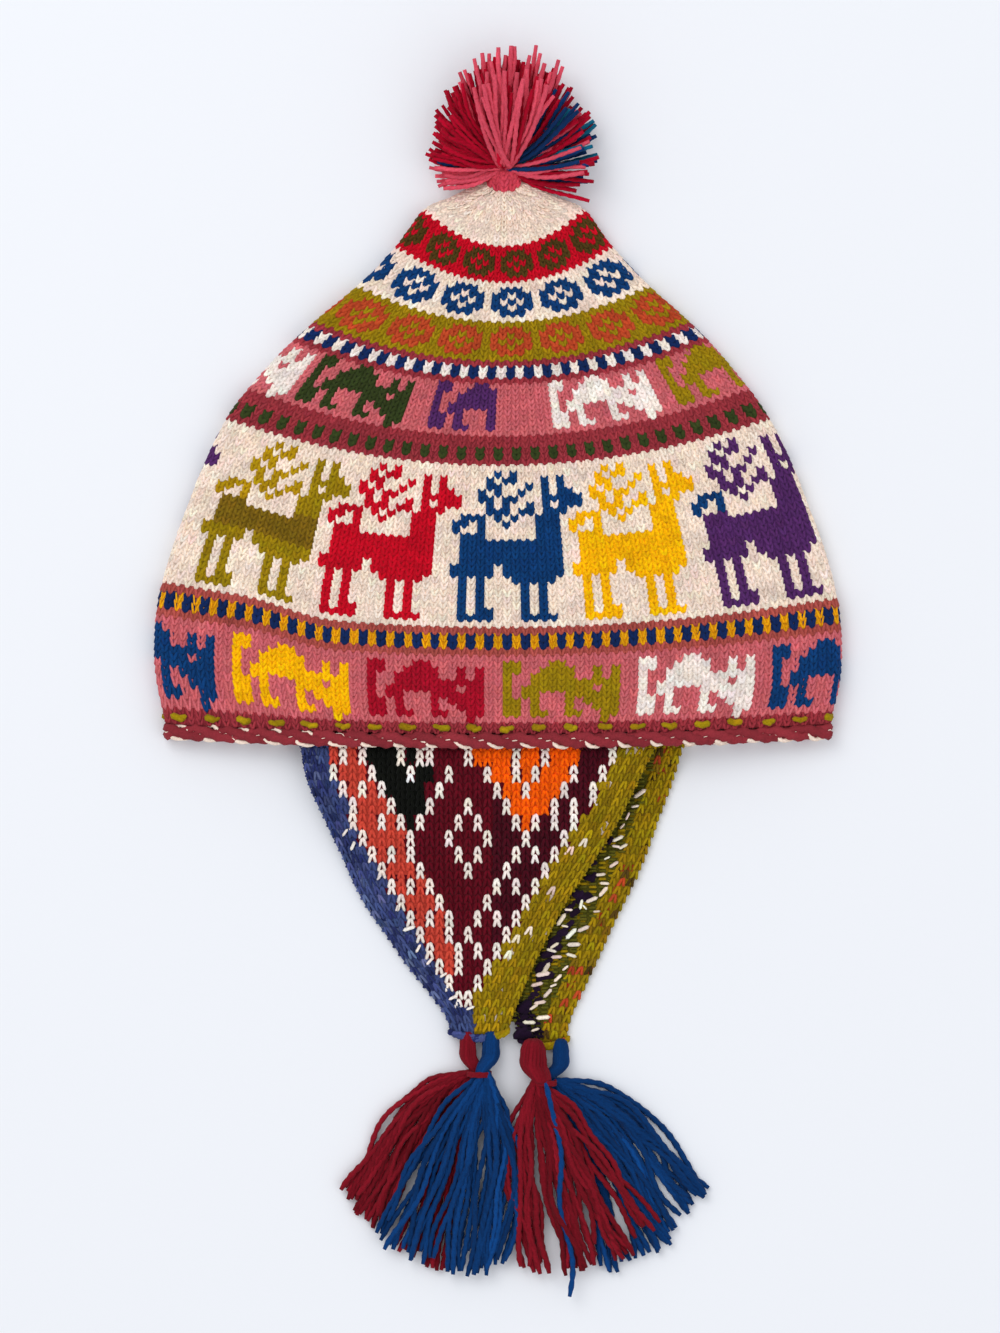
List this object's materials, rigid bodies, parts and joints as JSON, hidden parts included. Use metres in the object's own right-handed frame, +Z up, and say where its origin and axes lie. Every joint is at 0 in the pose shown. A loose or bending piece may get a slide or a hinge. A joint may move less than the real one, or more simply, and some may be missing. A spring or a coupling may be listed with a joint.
{
  "type": "knitted chullo hat",
  "caption": "Knitted chullo hat lying flat: hollow banded crown with a scalloped rim, ear flaps ending in two-colour tassels, and a strand pompom at the tip.",
  "frame": {"origin": "on the surface that the hat lies on, under the middle of the crown's back layer, 90 mm above the lower edge of the knitting", "axes": "+Y from the rim to the tip and pompom, +Z up from the surface to the front layer, +X to the right seen from above"},
  "size_m": [0.2704, 0.4903, 0.0419],
  "materials": {
    "crown_wool": "stranded knitting in cream and dyed wool",
    "edging_wool": "crocheted maroon wool",
    "near_flap_wool": "knitting in maroon, rust, orange, olive, blue and cream wool",
    "far_flap_wool": "wrong side of the knitting, olive with cream and dark floats",
    "tassel_red_wool": "loose red yarn",
    "tassel_blue_wool": "loose blue yarn",
    "pompom_wool": "loose pink, crimson and navy yarn"
  },
  "bodies": {
    "root": {"crown": "crown_wool", "rim_edging": "edging_wool", "near_flap": "near_flap_wool", "far_flap": "far_flap_wool", "near_tassel_red": "tassel_red_wool", "near_tassel_blue": "tassel_blue_wool", "near_tassel_tie": "tassel_red_wool", "far_tassel_red": "tassel_red_wool", "far_tassel_blue": "tassel_blue_wool", "far_tassel_tie": "tassel_red_wool", "pompom": "pompom_wool"}
  },
  "joints": []
}
